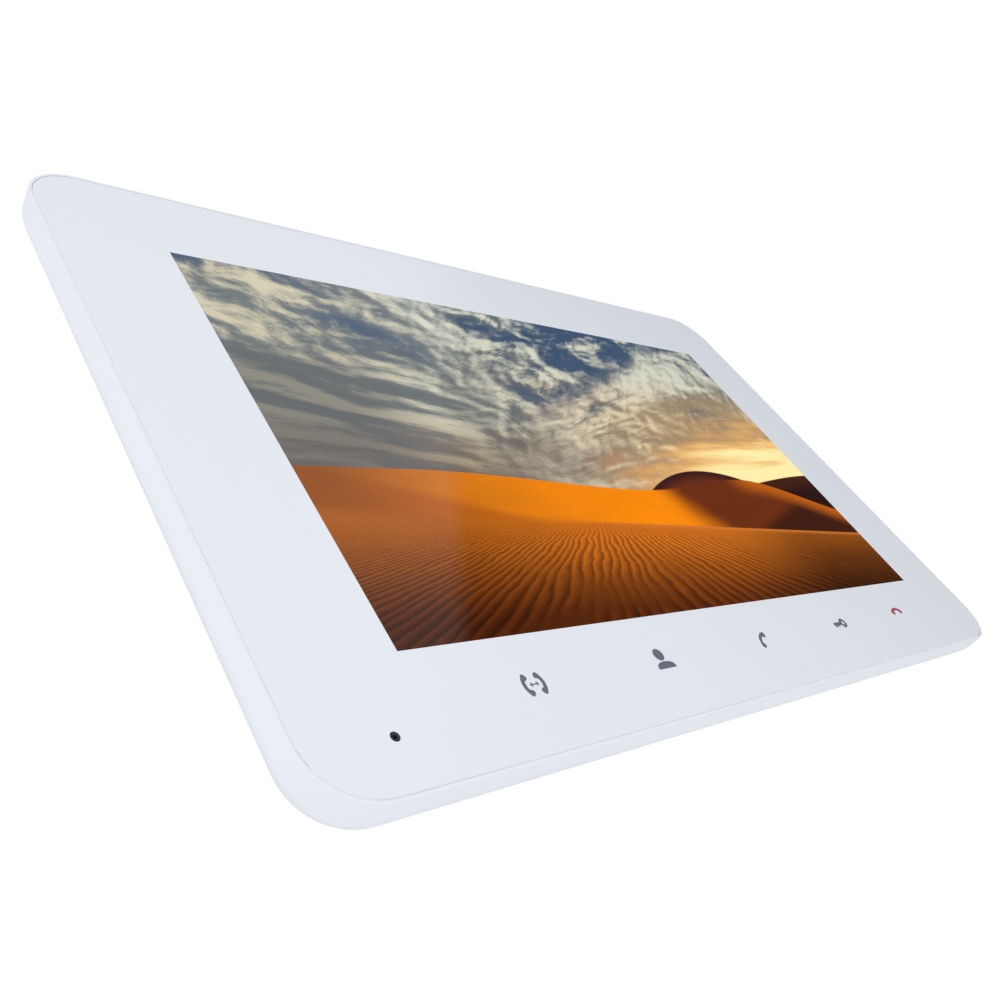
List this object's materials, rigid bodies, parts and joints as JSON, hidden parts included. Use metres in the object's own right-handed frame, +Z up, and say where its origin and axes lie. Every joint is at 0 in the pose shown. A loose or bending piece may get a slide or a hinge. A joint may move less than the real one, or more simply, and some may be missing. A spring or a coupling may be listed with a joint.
{
  "type": "video intercom monitor",
  "caption": "Slim white wall-hung video intercom monitor with a lit colour screen, touch keys, side controls and a hook-on steel wall bracket.",
  "frame": {"origin": "centre of the wall bracket's four screw holes, on the wall plane", "axes": "+X to the viewer's right, +Y into the wall, +Z up; the screen faces -Y"},
  "size_m": [0.194, 0.022, 0.123],
  "materials": {
    "white_acrylic": "gloss",
    "window": "gloss",
    "white_casing": "satin",
    "control_caps": "satin",
    "foam_tape": "matte",
    "lcd_glass": "gloss",
    "light_guide": "gloss",
    "sheet_steel": "brushed",
    "flex_film": "satin",
    "screws": "zinc plated",
    "circuit_board": "satin",
    "contact_brass": "plated",
    "ribbon_cable": "satin",
    "aluminium_cans": "satin",
    "black_rubber": "matte",
    "grey_rubber": "matte",
    "wire_sleeving": "satin",
    "chip_black": "matte",
    "connector_nylon": "satin",
    "speaker_basket": "satin",
    "speaker_paper": "matte",
    "magnet_steel": "zinc plated",
    "bracket_steel": "galvanised",
    "label_film": "satin"
  },
  "bodies": {
    "bracket": {"wall_bracket": "bracket_steel"},
    "monitor": {"front_panel": "white_acrylic", "display_window": "window", "panel_tape": "foam_tape", "front_frame": "white_casing", "lcd_panel": "lcd_glass", "light_guide": "light_guide", "lcd_tray": "sheet_steel", "lcd_flex": "flex_film", "lcd_retainers": "sheet_steel", "retainer_screws": "screws", "key_board": "circuit_board", "touch_springs": "contact_brass", "key_ribbon": "ribbon_cable", "microphone": "aluminium_cans", "microphone_boot": "black_rubber", "microphone_leads": "wire_sleeving", "main_board": "circuit_board", "processor": "chip_black", "shield_can": "sheet_steel", "memory_chips": "chip_black", "board_capacitors": "aluminium_cans", "board_inductors": "chip_black", "board_screws": "screws", "lcd_socket": "connector_nylon", "wire_headers": "connector_nylon", "terminal_headers": "connector_nylon", "terminal_pins": "contact_brass", "card_socket": "sheet_steel", "speaker_frame": "speaker_basket", "speaker_cone": "speaker_paper", "speaker_magnet": "magnet_steel", "speaker_gasket": "foam_tape", "speaker_leads": "wire_sleeving", "side_board": "circuit_board", "side_ribbon": "ribbon_cable", "jog_switch": "chip_black", "power_switch": "sheet_steel", "rear_cover": "white_casing", "case_screws": "screws", "wall_pads": "grey_rubber", "rating_label": "label_film"},
    "jog_carriage": {"jog_slider": "connector_nylon"},
    "jog_rocker": {"jog_lever": "control_caps"},
    "power_slide": {"power_knob": "control_caps"}
  },
  "joints": [
    {"name": "bracket_lift", "type": "slide", "parent": "bracket", "child": "monitor", "axis": [0, 0, 1], "range_m": [0, 0.007]},
    {"name": "jog_press", "type": "slide", "parent": "monitor", "child": "jog_carriage", "axis": [-1, 0, 0], "range_m": [0, 0.0005], "stiffness_N_per_m": 1500, "springref_m": -0.0003},
    {"name": "jog_rock", "type": "hinge", "parent": "jog_carriage", "child": "jog_rocker", "pos_m": [0.0849, -0.008, 0.027], "axis": [0, 1, 0], "range_deg": [-12, 12], "stiffness_Nm_per_rad": 0.02},
    {"name": "power_switch_slide", "type": "slide", "parent": "monitor", "child": "power_slide", "axis": [0, 0, -1], "range_m": [0, 0.003]}
  ]
}
